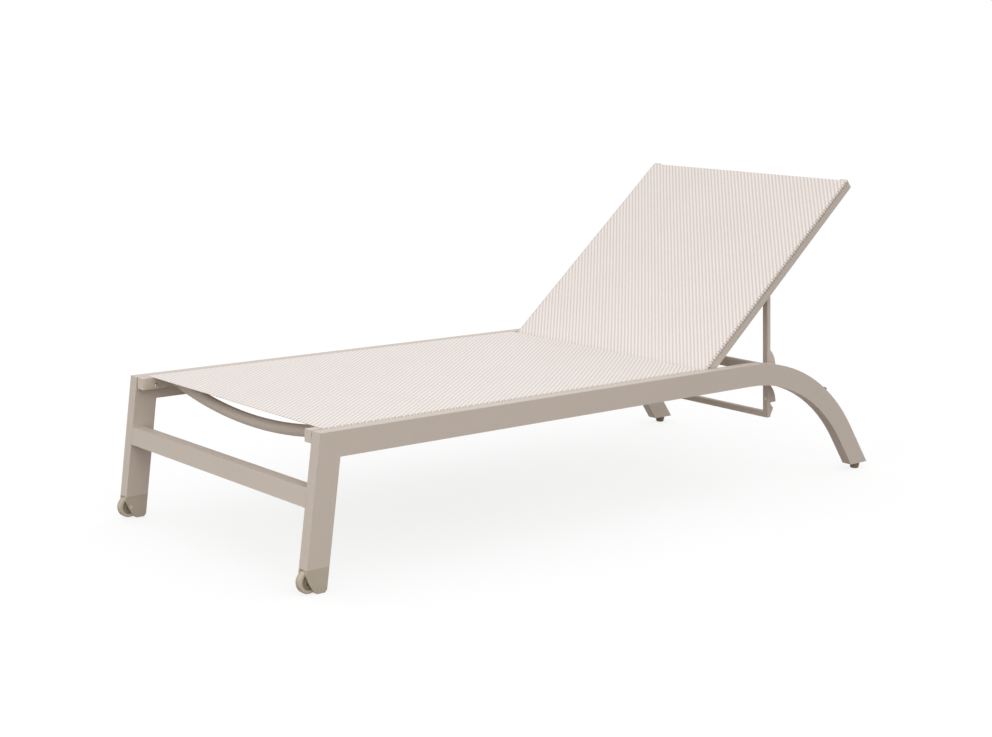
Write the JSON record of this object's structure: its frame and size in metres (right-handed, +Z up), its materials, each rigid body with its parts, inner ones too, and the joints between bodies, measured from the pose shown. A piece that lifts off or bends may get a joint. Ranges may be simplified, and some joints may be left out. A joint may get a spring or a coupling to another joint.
{
  "type": "sun lounger",
  "caption": "Aluminium sun lounger: flat sling seat, sling backrest on a notched prop stand, curved rear legs and small wheels in the front feet.",
  "frame": {"origin": "on the ground under the middle of the lounger's length and width", "axes": "+X along the length towards the head end, +Y to the right of a person lying on it, +Z up"},
  "size_m": [1.7424, 0.7, 0.7287],
  "materials": {
    "frame_paint": "taupe powder coat over extruded aluminium, fine texture, satin",
    "sling_fabric": "woven PVC-coated polyester mesh",
    "foot_plastic": "moulded, fine grain",
    "cap_plastic": "moulded",
    "wheel_plastic": "moulded",
    "hub_plastic": "moulded",
    "glide_plastic": "moulded",
    "bumper_rubber": "soft",
    "bead_plastic": "extruded",
    "nylon": "moulded nylon",
    "steel": "zinc-plated"
  },
  "bodies": {
    "base": {"side_rail_left": "frame_paint", "side_rail_right": "frame_paint", "front_leg_left": "frame_paint", "front_leg_right": "frame_paint", "leg_crossbar": "frame_paint", "front_foot_left": "foot_plastic", "front_foot_right": "foot_plastic", "wheel_axles": "steel", "rear_leg_plug_left": "glide_plastic", "rear_leg_plug_right": "glide_plastic", "rear_glide_left": "glide_plastic", "rear_glide_right": "glide_plastic", "front_bumpers": "bumper_rubber", "rear_bumpers": "bumper_rubber", "seat_rail_left": "frame_paint", "seat_rail_right": "frame_paint", "seat_rail_caps": "cap_plastic", "seat_bead_rods": "bead_plastic", "sling_bolts": "steel", "sling_spacers": "nylon", "frame_rivet_nuts": "steel", "foot_bow_bar": "frame_paint", "middle_bow_bar": "frame_paint", "hinge_bow_bar": "frame_paint", "catch_bar": "frame_paint", "sling_seat": "sling_fabric", "hinge_bolts": "steel", "hinge_spacers": "nylon"},
    "backrest": {"back_rail_left": "frame_paint", "back_rail_right": "frame_paint", "back_rail_caps": "cap_plastic", "back_lower_bow": "frame_paint", "back_middle_bow": "frame_paint", "back_top_bow": "frame_paint", "back_bead_rods": "bead_plastic", "sling_back": "sling_fabric", "hinge_bushes": "nylon", "prop_pivot_bolts": "steel", "prop_rivet_nuts": "steel"},
    "prop": {"prop_arm_left": "frame_paint", "prop_arm_right": "frame_paint", "prop_bottom_bar": "frame_paint", "prop_tooth_plate_left": "frame_paint", "prop_tooth_plate_right": "frame_paint", "prop_rivets": "steel", "prop_bushes": "nylon"},
    "wheel_left": {"wheel_tread_left": "wheel_plastic", "wheel_hub_left": "hub_plastic"},
    "wheel_right": {"wheel_tread_right": "wheel_plastic", "wheel_hub_right": "hub_plastic"}
  },
  "joints": [
    {"name": "backrest_hinge", "type": "hinge", "parent": "base", "child": "backrest", "pos_m": [0.28041, 0, 0.2985], "axis": [0, -1, 0], "range_deg": [-40.72, 0]},
    {"name": "prop_pivot", "type": "hinge", "parent": "backrest", "child": "prop", "pos_m": [0.51278, 0, 0.49851], "axis": [0, -1, 0], "range_deg": [-44.1, 0]},
    {"name": "wheel_left_spin", "type": "hinge", "parent": "base", "child": "wheel_left", "pos_m": [-0.84719, -0.337, 0.0255], "axis": [0, 1, 0], "continuous": true},
    {"name": "wheel_right_spin", "type": "hinge", "parent": "base", "child": "wheel_right", "pos_m": [-0.84719, 0.337, 0.0255], "axis": [0, 1, 0], "continuous": true}
  ],
  "couplings": [
    {"joint": "prop_pivot", "follows": "backrest_hinge", "ratio": 1.0805}
  ]
}
